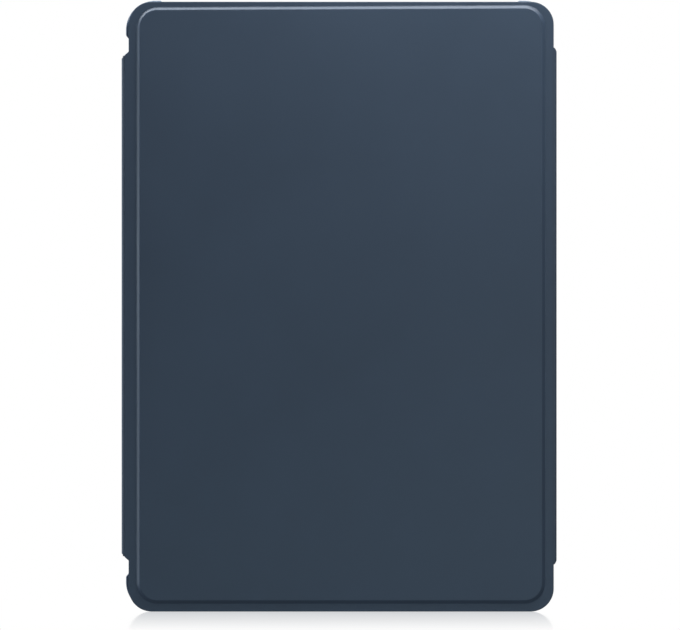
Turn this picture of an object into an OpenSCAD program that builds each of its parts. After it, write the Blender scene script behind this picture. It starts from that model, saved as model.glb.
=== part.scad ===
// Tablet keyboard case: a soft tray with corner bumpers holds the tablet, a book
// cover folds over its face and carries a removable keyboard on the inside, a
// closing flap wraps the open edge and a leaf in the back swings out as a stand.
// Frame: the case stands on its bottom edge, X to the right, Y to the back, Z up.
// Origin: middle of the standing edge. Units: millimetres.

/* [Tablet] */
// Width of the tablet that the tray holds
tablet_w = 174.1; // [172:0.1:176]
// Height of the tablet
tablet_h = 250.6; // [248:0.1:254]
// Thickness of the tablet
tablet_t = 7.5; // [7:0.1:8.5]
// Radius of the tablet's corners
tablet_r = 10; // [9:0.5:10.5]

/* [Tray] */
// Thickness of the tray's side walls
wall_t = 1.05; // [1:0.05:1.2]
// Extra thickness of the corner bumpers
bumper_t = 1.15; // [0.9:0.05:1.3]
// Length of each bumper along its side
bumper_len = 14.2; // [13:0.1:18]
// Width of the lip that overlaps the tablet's face
lip_w = 2.2; // [1.6:0.1:3]
// Thickness of the lip
lip_t = 1.1; // [1:0.1:1.4]
// Thickness of the tray's floor
floor_t = 0.8; // [0.8:0.1:1.2]
// Radius of the camera window
camera_r = 6; // [5:0.5:6.5]

/* [Back] */
// Thickness of the stiff back plate
plate_t = 2.2; // [2.1:0.1:2.6]
// Thickness of the soft outer skin
skin_t = 0.5; // [0.4:0.1:0.5]
// Rim of the back between the stand's free edge and the side
stand_rim = 11; // [9:0.5:30]
// Rim of the back above and below the stand
stand_end = 20.6; // [18:0.2:50]
// Radius of the stand's hinge pins
hinge_pin_r = 0.6; // [0.5:0.05:0.65]

/* [Cover] */
// Thickness of the cover's stiff board
board_t = 1.4; // [1.4:0.1:1.8]
// Thickness of the linings
lining_t = 0.5; // [0.4:0.1:0.6]
// Height of the raised panel above the cover's border
panel_rise = 1.2; // [0.8:0.1:1.5]
// Radius of the cover's corners
cover_r = 9.6; // [7:0.1:11]
// Distance from the end of the case to the spine and its folds
spine_end = 21.1; // [19:0.1:40]
// Thickness of the spine
spine_t = 2.2; // [1.9:0.1:2.4]
// Distance from the end of the case to the closing flap
flap_end = 19.6; // [18:0.1:40]
// Thickness of the closing flap
flap_t = 1.6; // [1.4:0.1:1.8]

/* [Keyboard] */
// Space between the keyboard and the ends of the case
keyboard_end_gap = 4.6; // [4:0.1:8]
// Space between the keyboard and the sides of the case
keyboard_side_gap = 4.2; // [4:0.1:8]
// Thickness of the keyboard's body under the keys
keyboard_t = 5; // [5:0.1:5.4]
// Distance that a key travels
key_travel = 1.2; // [1:0.1:1.2]
// Gap between neighbouring keys
key_gap = 2.2; // [1.8:0.1:3]
// Distance between the rows of keys
pitch_v = 16; // [15.5:0.1:16.5]
// Distance that the row of function keys takes
function_h = 10; // [9:0.1:11]
// Width of the touch pad
touchpad_w = 100; // [80:1:104]
// Border of the deck between its edge and the keys or the touch pad
deck_border = 8.2; // [8:0.1:9]

/* [Hidden] */
$fn = 48;

// Tray, centred on (mid_x, mid_z)
fit = 0.1;
spine_gap = 0.7;
flap_gap = 0.75;
half_w = tablet_w / 2 + fit + wall_t;
half_h = tablet_h / 2 + fit + wall_t;
mid_x = (spine_gap + spine_t - flap_gap - flap_t) / 2;
mid_z = half_h + bumper_t;
spine_x = mid_x - half_w - spine_gap - spine_t;
flap_x = mid_x + half_w + flap_gap + flap_t;
bay_w = tablet_w + 2 * fit;
bay_h = tablet_h + 2 * fit;
tray_r = tablet_r + wall_t + 0.2;
bumper_r = tray_r + bumper_t;
bumper_slope = 2.1;
bumper_bevel = 0.6;

// Layers from front to back; y = 0 is the tablet's face
bay_y = tablet_t + 0.2;
floor_y = bay_y + 0.3;
plate_y = floor_y + floor_t;
skin_y = plate_y + plate_t;
back_y = skin_y + skin_t;
key_top_y = -lip_t - 0.2;
keyboard_y = key_top_y - keyboard_t - key_travel;
cover_in_y = keyboard_y - 0.4;
board_y = cover_in_y - lining_t;
border_y = board_y - board_t;
cover_y = border_y - skin_t;
shift_y = -(back_y + cover_y - panel_rise) / 2;

// Openings in the tray
inlet_w = 14;
speaker_w = 30;
speaker_x = 40;
slot_y0 = 1.4;
slot_y1 = 6;
camera_x = mid_x + tablet_w / 2 - 13;
camera_z = mid_z + tablet_h / 2 - 14;
jack_x = mid_x - tablet_w / 2 + 14;
power_x = mid_x + tablet_w / 2 - 22;
power_l = 13;
volume_x = mid_x + half_w;
volume_up_z = mid_z + tablet_h / 2 - 42;
volume_down_z = volume_up_z - 14;
volume_l = 11;
button_w = 3.4;
button_mid_y = 3.7;
button_gap = 0.2;
button_travel = 0.3;

// Stand
hinge_x = mid_x;
hinge_y = plate_y + 1.3;
leaf_core_t = 2;
recess_gap = 0.5;
notch_r = 7;
pin_grip = 7;
pin_reach = 6;
stand_z0 = stand_end;
stand_z1 = 2 * mid_z - stand_end;
stand_h = stand_z1 - stand_z0;
pin_offset = (stand_h + recess_gap + pin_grip - pin_reach) / 2;
recess_x0 = mid_x - half_w + stand_rim;
recess_x1 = hinge_x + 2.6;
pin_gap = 0.04;
bracket_w = 8;
magnet_r = 5;
magnet_t = 1.2;
catch_w = 14;
catch_l = 30;
catch_t = 0.5;
magnet_end = 37;
stand_magnet_z = [stand_z0 + magnet_end, mid_z, stand_z1 - magnet_end];
stand_magnet_x = recess_x0 + catch_w;

// Spine, flap and folds
fold_gap = 0.3;
fold_slant = 3;
spine_y0 = cover_y + skin_t + fold_gap;
spine_y1 = skin_y - fold_gap;
spine_h = 2 * (mid_z - spine_end);
flap_h = 2 * (mid_z - flap_end);
flap_slant = 1.6;
flap_skin_t = 0.4;
flap_y1 = plate_y + 0.7;
flap_magnet_l = 24;
flap_magnet_w = 4;
flap_magnet_t = 1.5;
flap_magnet_edge = 3;
flap_magnet_z = [flap_end + 33, mid_z, 2 * mid_z - flap_end - 33];

// Cover
cover_x0 = mid_x - half_w;
cover_x1 = mid_x + half_w + bumper_t;
cover_top = 2 * mid_z - 0.5;
turn_t = 0.5;
cover_magnet_r = 3.8;
cover_magnet_t = 1;
border_left = 3.3;
border_right = 3.6;
border_bottom = 3.4;
border_top = 1.6;
panel_x0 = cover_x0 + border_left;
panel_x1 = cover_x1 - border_right;
panel_z0 = border_bottom;
panel_z1 = cover_top - border_top;
panel_r = 7.5;
panel_bevel = 1.3;

// Keyboard: u along the rows, v towards the function keys, n out of the deck
floor_n = 0.8;
deck_t = 1;
deck_n = keyboard_t - deck_t;
key_n = keyboard_t + key_travel;
cap_t = key_travel + 0.1;
board_n = 1.2;
membrane_n = 1.5;
guide_n = 2.2;
guide_t = 0.6;
sleeve_n = 3.6;
stem_r = 1.4;
guide_bore_r = 1.46;
side_wall = 1.4;
keyboard_r = 7;
base_bevel = 0.7;
deck_bevel = 0.4;
cap_bevel = 0.4;
cap_r = 1.3;
stem_n = 2.8;
keyboard_l = 2 * (mid_z - keyboard_end_gap);
keyboard_d = 2 * (half_w - keyboard_side_gap);
rows_v0 = keyboard_d / 2 - deck_border;
rows_v1 = rows_v0 - function_h - 5 * pitch_v;
rows_l = keyboard_l - 2 * deck_border;
pitch_u = rows_l / 14;
touchpad_gap = 6;
touchpad_v0 = rows_v1 - touchpad_gap;
touchpad_v1 = touchpad_gap - keyboard_d / 2;
touchpad_h = touchpad_v0 - touchpad_v1;
touchpad_v = (touchpad_v0 + touchpad_v1) / 2;
touchpad_hook = 2;
clamp_w = 1.2;
clamp_u = rows_l / 2 + clamp_w;
clamp_v0 = rows_v0 + clamp_w;
clamp_v1 = rows_v1 - clamp_w;
palm_gap = 4;
palm_v0 = clamp_v1 - 1;
palm_v1 = 2 * palm_gap - keyboard_d / 2;
palm_u0 = touchpad_w / 2 + touchpad_hook + palm_gap;
palm_u1 = keyboard_l / 2 - side_wall - 6;
port_l = 7;
port_w = 8.9;
port_h = 2.5;
port_n = 2.1;
port_v = palm_v0 - port_w;
switch_w = 4;
switch_v = palm_v1 + 2 * switch_w;
switch_travel = 2.5;
screw_r = 0.9;
screw_head_r = 1.8;
screw_head_t = 0.4;
screw_tip = 3.1;
boss_r = 2;
foot_inset = 0.4;
screw_edge = 4;
screw_u = keyboard_l / 2 - screw_edge;
screw_v = [keyboard_d / 2 - 6, 0, 6 - keyboard_d / 2];
plate_l = 30;
plate_w = 8;
plate_inset = 0.4;
plate_u = keyboard_l / 2 - 28;
plate_v = keyboard_d / 2 - 14;
foot_l = 18;
foot_w = 4;
foot_u = keyboard_l / 2 - 20;
foot_v = keyboard_d / 2 - 6.5;
half_gap = 0.9;
chip_w = 8;
light_r = 0.8;
light_pitch = 6;
light_v = keyboard_d / 2 - 3.8;

// Widths of the keys in each row, in units of one letter key
function_row = [for (i = [1:14]) 1];
number_row = concat([0.75], [for (i = [1:12]) 1], [1.25]);
upper_row = concat([1.25], [for (i = [1:12]) 1], [0.75]);
home_row = concat([1.5], [for (i = [1:11]) 1], [1.5]);
lower_row = concat([2], [for (i = [1:10]) 1], [2]);
bottom_row = [1, 1, 1, 1.25, 4.75, 1, 1, 1, 1, 1];

// Sum of the first n widths of a row
function ahead(row, n) = n == 0 ? 0 : ahead(row, n - 1) + row[n - 1];

// Middle of a row's line of keys; row 0 holds the function keys
function row_v(i) = i == 0 ? rows_v0 - function_h / 2 : rows_v0 - function_h - (i - 0.5) * pitch_v;

// A key: [middle u, middle v, width, height]
function key_at(row, i, line) = [
  (ahead(row, i) + row[i] / 2) * pitch_u - rows_l / 2, row_v(line), row[i] * pitch_u - key_gap,
  (line == 0 ? function_h : pitch_v) - key_gap
];
function keys_of(row, line, a, b) = [for (i = [a:b]) key_at(row, i, line)];

// A half-height key in the upper or lower half of the bottom row
function half_key(i, side) =
  let (k = key_at(bottom_row, i, 5), h = (k[3] - half_gap) / 2)
  [k[0], k[1] + side * (h + half_gap) / 2, k[2], h];

// Where a key's stems are, along its width
function stems(k) =
  k[2] > 3 * pitch_u ? [-0.32 * k[2], 0, 0.32 * k[2]]
  : k[2] > 1.6 * pitch_u ? [-0.3 * k[2], 0.3 * k[2]]
  : [0];

all_keys = concat(
  keys_of(function_row, 0, 0, 13), keys_of(number_row, 1, 0, 13), keys_of(upper_row, 2, 0, 13),
  keys_of(home_row, 3, 0, 12), keys_of(lower_row, 4, 0, 11), keys_of(bottom_row, 5, 0, 7),
  [half_key(8, 1), half_key(8, -1)], keys_of(bottom_row, 5, 9, 9)
);

// Rectangle with round corners, centred
module rounded(w, h, r) {
  square([w - 2 * r, h], center = true);
  square([w, h - 2 * r], center = true);
  for (x = [-1, 1], y = [-1, 1]) translate([x * (w / 2 - r), y * (h / 2 - r)]) circle(r);
}

// Rounded rectangle between two corners
module rounded_box(x0, x1, y0, y1, r) {
  translate([(x0 + x1) / 2, (y0 + y1) / 2]) rounded(x1 - x0, y1 - y0, r);
}

// Plain rectangle between two corners
module rect(x0, x1, y0, y1) {
  translate([x0, y0]) square([x1 - x0, y1 - y0]);
}

// Sheet whose outline is drawn in X and Z, from y0 to y1
module sheet(y0, y1) {
  translate([0, y1 + shift_y, 0]) rotate([90, 0, 0]) linear_extrude(y1 - y0) children();
}

// Sheet whose outline is drawn in Y and Z, from x0 to x1
module side_sheet(x0, x1) {
  translate([x0, shift_y, 0]) rotate([90, 0, 90]) linear_extrude(x1 - x0) children();
}

// Bevelled slab with round corners that narrows by the bevel over its thickness
module bevelled(w, h, t, r, bevel) {
  translate([0, h / 2 - r, 0]) rotate([90, 0, 0]) linear_extrude(h - 2 * r)
    polygon([[-w / 2, 0], [w / 2, 0], [w / 2 - bevel, t], [-w / 2 + bevel, t]]);
  translate([-w / 2 + r, 0, 0]) rotate([90, 0, 90]) linear_extrude(w - 2 * r)
    polygon([[-h / 2, 0], [h / 2, 0], [h / 2 - bevel, t], [-h / 2 + bevel, t]]);
  for (x = [-1, 1], y = [-1, 1]) translate([x * (w / 2 - r), y * (h / 2 - r), 0])
    cylinder(h = t, r1 = r, r2 = r - bevel);
}

// Slab with round corners and bevelled edges on both faces
module edged(w, h, t, r, bevel) {
  translate([0, 0, bevel]) mirror([0, 0, 1]) bevelled(w, h, bevel, r, bevel);
  translate([0, 0, bevel]) linear_extrude(t - 2 * bevel) rounded(w, h, r);
  translate([0, 0, t - bevel]) bevelled(w, h, bevel, r, bevel);
}

// Bevelled slab that rises towards the front from y
module front_slab(y, inset, rise) {
  translate([(panel_x0 + panel_x1) / 2, y + shift_y, (panel_z0 + panel_z1) / 2]) rotate([90, 0, 0])
    bevelled(panel_x1 - panel_x0 - 2 * inset, panel_z1 - panel_z0 - 2 * inset, rise,
      panel_r - inset, panel_bevel);
}

// Strip with slanted ends between the case and a fold, in X and Z
module fold_strip(x0, x1, h, slant0, slant1) {
  polygon([
    [x0, mid_z - h / 2 + slant0], [x1, mid_z - h / 2 + slant1],
    [x1, mid_z + h / 2 - slant1], [x0, mid_z + h / 2 - slant0]
  ]);
}

// Corner region of a bumper; its ends slope down to the plain wall
module bumper_region(sx, sz) {
  w = half_w + bumper_t;
  h = half_h + bumper_t;
  a = bumper_len;
  b = bumper_len + bumper_slope;
  c = bumper_t + 0.1;
  polygon([
    for (q = [[w - a, h + 1], [w + 1, h + 1], [w + 1, h - a], [w, h - a], [w - c, h - b], [w - b, h - b],
      [w - b, h - c], [w - a, h]]) [sx * q[0], sz * q[1]]
  ]);
}

// Four corner bumpers with bevelled edges, before the bay is cut
module bumpers() {
  translate([mid_x, plate_y + shift_y, mid_z]) rotate([90, 0, 0]) intersection() {
    edged(2 * (half_w + bumper_t), 2 * (half_h + bumper_t), plate_y + lip_t, bumper_r, bumper_bevel);
    linear_extrude(plate_y + lip_t) for (x = [-1, 1], z = [-1, 1]) bumper_region(x, z);
  }
}

module bay_outline() {
  translate([mid_x, mid_z]) rounded(bay_w, bay_h, tablet_r);
}

// Window of a side button in a wall, grown by g
module button_window(l, g) {
  rounded(l + 2 * g, button_w + 2 * g, button_w / 2 + g - 0.01);
}

// Moves a shape drawn in X and Y to a button in the top wall
module on_top_wall(x, z) {
  translate([x, button_mid_y + shift_y, z]) children();
}

// Moves a shape drawn in X and Y to a button in the right wall
module on_right_wall(x, z) {
  translate([x, button_mid_y + shift_y, z]) rotate([0, 90, 0]) children();
}

module tray_frame() {
  color([0.17, 0.24, 0.33]) difference() {
    union() {
      sheet(-lip_t, plate_y) difference() {
        translate([mid_x, mid_z]) rounded(2 * half_w, 2 * half_h, tray_r);
        bay_outline();
      }
      difference() {
        bumpers();
        sheet(-lip_t - 1, plate_y + 1) bay_outline();
      }
      sheet(-lip_t, 0) difference() {
        translate([mid_x, mid_z]) rounded(bay_w + 0.4, bay_h + 0.4, tablet_r + 0.2);
        translate([mid_x, mid_z]) rounded(bay_w - 2 * lip_w, bay_h - 2 * lip_w, tablet_r - 2);
      }
      sheet(floor_y, plate_y) translate([mid_x, mid_z]) rounded(bay_w + 0.4, bay_h + 0.4, tablet_r + 0.2);
    }
    sheet(floor_y - 1, plate_y + 1) translate([camera_x, camera_z]) circle(camera_r + 1.4);
    sheet(plate_y - catch_t, plate_y + 1) catch_outline();
    for (p = [[0, inlet_w], [-speaker_x, speaker_w], [speaker_x, speaker_w]])
      translate([mid_x + p[0], (slot_y0 + slot_y1) / 2 + shift_y, -1]) linear_extrude(wall_t + bumper_t + 2)
        rounded(p[1], slot_y1 - slot_y0, 1.8);
    translate([jack_x, button_mid_y + shift_y, mid_z + tablet_h / 2 - 1]) cylinder(h = 5, r = 3.1);
    on_top_wall(power_x, mid_z + half_h - 3) linear_extrude(5) button_window(power_l, button_gap);
    for (z = [volume_up_z, volume_down_z])
      on_right_wall(volume_x - 3, z) linear_extrude(5) button_window(volume_l, button_gap);
  }
}

// Outline of the steel plates that catch the stand's magnets
module catch_outline() {
  for (z = stand_magnet_z) translate([stand_magnet_x, z]) rounded(catch_w, catch_l, 2);
}

module tray_lining() {
  color([0.25, 0.27, 0.3]) sheet(bay_y, floor_y) difference() {
    translate([mid_x, mid_z]) rounded(bay_w - 1, bay_h - 1, tablet_r - 0.5);
    translate([camera_x, camera_z]) circle(camera_r + 1.6);
  }
}

module camera_ring() {
  color([0.1, 0.11, 0.13]) sheet(floor_y, back_y) translate([camera_x, camera_z]) difference() {
    circle(camera_r + 1.4);
    circle(camera_r);
  }
}

// Opening for the stand leaf, with a finger notch beside its free edge
module stand_recess() {
  rect(recess_x0, recess_x1, stand_z0 - recess_gap, stand_z1 + recess_gap);
  translate([recess_x0, mid_z]) circle(notch_r);
}

// Pocket of the hinge brackets, one at each end of the stand
module bracket_outline(g) {
  for (s = [-1, 1]) translate([hinge_x, mid_z + s * (stand_h / 2 + recess_gap + pin_grip / 2)])
    square([bracket_w + 2 * g, pin_grip + 2 * g], center = true);
}

// Outline of the magnets that pull the flap to the back plate's edge
module back_magnet_outline() {
  for (z = flap_magnet_z) translate([mid_x + half_w - flap_magnet_edge - flap_magnet_w / 2, z])
    square([flap_magnet_w, flap_magnet_l], center = true);
}

module back_plate() {
  color([0.2, 0.22, 0.25]) difference() {
    sheet(plate_y, skin_y) difference() {
      translate([mid_x, mid_z]) rounded(2 * half_w - 2, 2 * half_h - 2, tray_r - 1);
      stand_recess();
      bracket_outline(0);
      translate([camera_x, camera_z]) circle(camera_r + 1.4);
    }
    sheet(plate_y - 1, plate_y + flap_magnet_t) back_magnet_outline();
  }
}

module back_skin() {
  color([0.2, 0.25, 0.31]) sheet(skin_y, back_y) difference() {
    union() {
      translate([mid_x, mid_z]) rounded(2 * half_w, 2 * half_h, tray_r);
      fold_strip(spine_x + fold_gap, mid_x - half_w + 0.1, spine_h, fold_slant, 0);
    }
    stand_recess();
    translate([camera_x, camera_z]) circle(camera_r + 1.4);
  }
}

module back_magnets() {
  color("silver") sheet(plate_y, plate_y + flap_magnet_t) back_magnet_outline();
}

module stand_hinge_brackets() {
  color("dimgray") difference() {
    sheet(plate_y, skin_y) bracket_outline(0);
    translate([hinge_x, hinge_y + shift_y, 0]) cylinder(h = 2 * mid_z, r = hinge_pin_r);
  }
}

module stand_hinge_pins() {
  color("silver") for (s = [-1, 1])
    translate([hinge_x, hinge_y + shift_y, mid_z + s * pin_offset])
      cylinder(h = pin_grip + recess_gap + pin_reach - 1, r = hinge_pin_r, center = true);
}

module stand_catch_plates() {
  color("silver") sheet(plate_y - catch_t, plate_y) catch_outline();
}

module power_button() {
  color([0.2, 0.27, 0.36]) on_top_wall(power_x, mid_z + tablet_h / 2 + fit + button_travel + 0.05)
    linear_extrude(wall_t + 0.2) button_window(power_l, 0);
}

// Cap of a volume button at height z
module volume_button(z) {
  color([0.2, 0.27, 0.36]) on_right_wall(volume_x - wall_t + button_travel + 0.05, z)
    linear_extrude(wall_t) button_window(volume_l, 0);
}

module volume_up_button() {
  volume_button(volume_up_z);
}

module volume_down_button() {
  volume_button(volume_down_z);
}

module stand_magnet_outline() {
  for (z = stand_magnet_z) translate([stand_magnet_x, z]) circle(magnet_r);
}

module stand_leaf() {
  color([0.2, 0.22, 0.25]) difference() {
    translate([0, shift_y, stand_z0]) linear_extrude(stand_h) {
      rect(recess_x0 + recess_gap, hinge_x, hinge_y - leaf_core_t / 2, hinge_y + leaf_core_t / 2);
      translate([hinge_x, hinge_y]) circle(leaf_core_t / 2);
    }
    for (z = [stand_z0 - 1, stand_z1 - pin_reach])
      translate([hinge_x, hinge_y + shift_y, z]) cylinder(h = pin_reach + 1, r = hinge_pin_r + pin_gap);
    sheet(hinge_y - leaf_core_t / 2 - 1, hinge_y - leaf_core_t / 2 + magnet_t) stand_magnet_outline();
  }
}

module stand_skin() {
  color([0.2, 0.25, 0.31]) sheet(hinge_y + leaf_core_t / 2, back_y)
    rect(recess_x0 + recess_gap, hinge_x - 2, stand_z0, stand_z1);
}

module stand_magnets() {
  color("silver") sheet(hinge_y - leaf_core_t / 2, hinge_y - leaf_core_t / 2 + magnet_t)
    stand_magnet_outline();
}

// Layer of the spine between two depths into it, shortened towards the outside
module spine_layer(a, b, trim) {
  side_sheet(spine_x + a, spine_x + b)
    rect(spine_y0, spine_y1, mid_z - spine_h / 2 + trim, mid_z + spine_h / 2 - trim);
}

module spine_skin() {
  color([0.2, 0.26, 0.33]) spine_layer(0, skin_t, fold_slant);
}

module spine_board() {
  color([0.2, 0.22, 0.25]) spine_layer(skin_t, spine_t - lining_t, fold_slant - 1);
}

module spine_lining() {
  color([0.25, 0.27, 0.3]) spine_layer(spine_t - lining_t, spine_t, fold_slant - 2);
}

// Layer of the closing flap between two distances in from its outside
module flap_layer(a, b, trim) {
  side_sheet(flap_x - b, flap_x - a)
    rect(spine_y0, flap_y1, mid_z - flap_h / 2 + trim, mid_z + flap_h / 2 - trim);
}

// Magnets near the flap's free edge
module flap_magnet_blocks() {
  for (z = flap_magnet_z) side_sheet(flap_x - flap_t + flap_skin_t, flap_x - flap_skin_t)
    rect(flap_y1 - 5, flap_y1 - 2, z - flap_magnet_l / 2, z + flap_magnet_l / 2);
}

module flap_skin() {
  color([0.2, 0.26, 0.33]) flap_layer(0, flap_skin_t, flap_slant);
}

module flap_board() {
  color([0.2, 0.22, 0.25]) difference() {
    flap_layer(flap_skin_t, flap_t - flap_skin_t, flap_slant - 0.6);
    flap_magnet_blocks();
  }
}

module flap_lining() {
  color([0.25, 0.27, 0.3]) flap_layer(flap_t - flap_skin_t, flap_t, flap_slant - 1.1);
}

module flap_magnets() {
  color("silver") flap_magnet_blocks();
}

module cover_skin() {
  color([0.2, 0.26, 0.33]) difference() {
    union() {
      sheet(cover_y, border_y) {
        rounded_box(cover_x0, cover_x1, 0, cover_top, cover_r);
        fold_strip(spine_x + fold_gap, cover_x0 + 0.1, spine_h, fold_slant, 0);
        fold_strip(cover_x1 - 0.1, flap_x - fold_gap, flap_h, 0, flap_slant);
      }
      sheet(border_y - 0.1, board_y) difference() {
        cover_inside(0);
        cover_inside(turn_t);
      }
      front_slab(cover_y, 0, panel_rise);
    }
    front_slab(border_y, skin_t, panel_rise);
  }
}

module cover_pad() {
  color([0.3, 0.3, 0.32]) front_slab(border_y, skin_t, panel_rise);
}

// Outline of the cover's board and lining, short of the flap
module cover_inside(inset) {
  rounded_box(cover_x0 + inset, mid_x + half_w + 0.35 - inset, inset, cover_top - inset, cover_r - inset);
}

// Magnets under the keyboard's steel plates
module cover_magnet_outline() {
  for (x = [-1, 1], z = [-1, 1])
    translate([mid_x + x * plate_v, mid_z + z * plate_u]) circle(cover_magnet_r);
}

module cover_board() {
  color([0.2, 0.22, 0.25]) difference() {
    sheet(border_y, board_y) cover_inside(turn_t);
    sheet(board_y - cover_magnet_t, board_y + 1) cover_magnet_outline();
  }
}

module cover_magnets() {
  color("silver") sheet(board_y - cover_magnet_t, board_y) cover_magnet_outline();
}

module cover_lining() {
  color([0.25, 0.27, 0.3]) sheet(board_y, cover_in_y) cover_inside(turn_t / 2);
}

// Moves a shape drawn in u, v and n to the keyboard's place inside the cover
module on_keyboard() {
  translate([mid_x, keyboard_y + shift_y, mid_z]) rotate([-90, 90, 0]) children();
}

// Slab between two heights of the keyboard
module slab(n0, n1) {
  translate([0, 0, n0]) linear_extrude(n1 - n0) children();
}

// Ring that carries and clamps the key guide plate
module clamp_ring() {
  difference() {
    rect(-clamp_u, clamp_u, clamp_v1, clamp_v0);
    rect(-rows_l / 2 - 0.1, rows_l / 2 + 0.1, rows_v1 - 0.1, rows_v0 + 0.1);
  }
}

// Outline of the four steel plates
module steel_plate_outline() {
  for (u = [-1, 1], v = [-1, 1]) translate([u * plate_u, v * plate_v]) rounded(plate_l, plate_w, 1);
}

// Outline of the four feet
module foot_outline(g) {
  for (u = [-1, 1], v = [-1, 1])
    translate([u * foot_u, v * foot_v]) rounded(foot_l + 2 * g, foot_w + 2 * g, 1.5 + g);
}

// Moves a shape to each screw of the keyboard
module at_screws() {
  for (u = [-1, 1], v = screw_v) translate([u * screw_u, v, 0]) children();
}

// Moves a shape to each indicator light
module at_lights() {
  for (i = [0:2]) translate([rows_l / 2 - 4 - i * light_pitch, light_v]) children();
}

module keyboard_base() {
  color([0.13, 0.14, 0.16]) on_keyboard() difference() {
    union() {
      difference() {
        union() {
          translate([0, 0, base_bevel]) mirror([0, 0, 1])
            bevelled(keyboard_l, keyboard_d, base_bevel, keyboard_r, base_bevel);
          slab(base_bevel, deck_n) rounded(keyboard_l, keyboard_d, keyboard_r);
        }
        slab(floor_n, deck_n + 1)
          rounded(keyboard_l - 2 * side_wall, keyboard_d - 2 * side_wall, keyboard_r - side_wall);
      }
      slab(floor_n - 0.1, guide_n) clamp_ring();
    }
    slab(floor_n - plate_inset, floor_n + 0.1) steel_plate_outline();
    slab(-1, foot_inset) foot_outline(0);
    at_screws() translate([0, 0, -1]) cylinder(h = 1 + screw_head_t + 0.1, r = screw_head_r + 0.2);
    at_screws() translate([0, 0, -1]) cylinder(h = 3, r = screw_r + 0.1);
    translate([-keyboard_l / 2 - 1, port_v, port_n]) rotate([90, 0, 90]) linear_extrude(side_wall + 1.2)
      rounded(port_w + 0.3, port_h + 0.3, port_h / 2 + 0.14);
    translate([-keyboard_l / 2 - 1, switch_v - switch_w / 2 - 0.3, 1.4])
      cube([side_wall + 1.2, switch_w + 0.6 + switch_travel, 2]);
  }
}

module keyboard_deck() {
  color([0.16, 0.17, 0.19]) on_keyboard() difference() {
    union() {
      slab(deck_n, keyboard_t - deck_bevel) rounded(keyboard_l, keyboard_d, keyboard_r);
      translate([0, 0, keyboard_t - deck_bevel])
        bevelled(keyboard_l, keyboard_d, deck_bevel, keyboard_r, deck_bevel);
      slab(guide_n + guide_t, deck_n + 0.1) clamp_ring();
      at_screws() slab(floor_n, deck_n + 0.1) circle(boss_r);
    }
    slab(deck_n, keyboard_t + 1) {
      for (k = all_keys) translate([k[0], k[1]]) rounded(k[2] + 0.7, k[3] + 0.7, 1.5);
      translate([0, touchpad_v]) rounded(touchpad_w + 0.6, touchpad_h + 0.6, 3.3);
      at_lights() circle(light_r);
    }
    at_screws() slab(floor_n - 1, screw_tip + 0.2) circle(screw_r);
  }
}

module key_guide_plate() {
  color("silver") on_keyboard() difference() {
    union() {
      slab(guide_n, guide_n + guide_t) rect(-clamp_u, clamp_u, clamp_v1, clamp_v0);
      for (k = all_keys, s = stems(k)) translate([k[0] + s, k[1], guide_n + guide_t - 0.1])
        cylinder(h = sleeve_n - guide_n - guide_t + 0.1, r = 2.3, $fn = 24);
    }
    for (k = all_keys, s = stems(k)) translate([k[0] + s, k[1], guide_n - 1])
      cylinder(h = sleeve_n - guide_n + 2, r = guide_bore_r, $fn = 24);
  }
}

// Rubber sheet with one dome under each key stem
module dome_sheet() {
  color([0.8, 0.8, 0.78]) on_keyboard() {
    slab(board_n, membrane_n) rect(-rows_l / 2 + 1, rows_l / 2 - 1, rows_v1 + 1, rows_v0 - 1);
    for (k = all_keys, s = stems(k)) translate([k[0] + s, k[1], membrane_n - 0.1]) {
      cylinder(h = 0.7, r1 = 2.2, r2 = 1.2, $fn = 24);
      cylinder(h = 1.35, r = 1.1, $fn = 24);
    }
  }
}

module circuit_board() {
  color("darkgreen") on_keyboard() slab(floor_n, board_n)
    rect(-rows_l / 2 + 0.5, rows_l / 2 - 0.5, rows_v1 + 0.5, rows_v0 - 0.5);
}

module control_board() {
  color("darkgreen") on_keyboard() slab(floor_n, floor_n + 0.8)
    rect(-palm_u1, -palm_u0, palm_v1, palm_v0);
}

module controller_chip() {
  color([0.08, 0.08, 0.08]) on_keyboard() slab(floor_n + 0.8, floor_n + 1.8)
    for (p = [[-8, -14, chip_w], [-20, -32, chip_w * 0.6]])
      translate([-palm_u0 + p[0], palm_v0 + p[1]]) square(p[2], center = true);
}

module battery_cell() {
  color([0.75, 0.76, 0.78]) on_keyboard() slab(floor_n, floor_n + 2.8)
    rounded_box(palm_u0, palm_u1, palm_v1, palm_v0, 2);
}

module charging_port() {
  color("silver") on_keyboard() translate([-keyboard_l / 2 + 0.2, port_v, port_n]) rotate([90, 0, 90]) {
    difference() {
      linear_extrude(port_l) rounded(port_w, port_h, port_h / 2 - 0.01);
      translate([0, 0, -1]) linear_extrude(port_l) rounded(port_w - 0.6, port_h - 0.6, port_h / 2 - 0.31);
    }
    translate([0, 0, 1]) linear_extrude(port_l - 1.5) square([port_w - 2.9, 0.6], center = true);
  }
}

module indicator_lights() {
  color([0.9, 0.95, 0.9]) on_keyboard() at_lights() {
    slab(deck_n, keyboard_t) circle(light_r);
    slab(deck_n - 0.8, deck_n) circle(light_r + 0.5);
  }
}

module touchpad_switch() {
  color("silver") on_keyboard() translate([0, touchpad_v1 + 12, 0]) {
    slab(floor_n, floor_n + 1.4) square(6, center = true);
    slab(floor_n + 1.4, floor_n + 1.8) circle(1.6);
  }
}

module keyboard_steel_plates() {
  color("silver") on_keyboard() slab(floor_n - plate_inset, floor_n) steel_plate_outline();
}

module keyboard_feet() {
  color([0.1, 0.1, 0.1]) on_keyboard() slab(-0.3, foot_inset) foot_outline(0);
}

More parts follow.
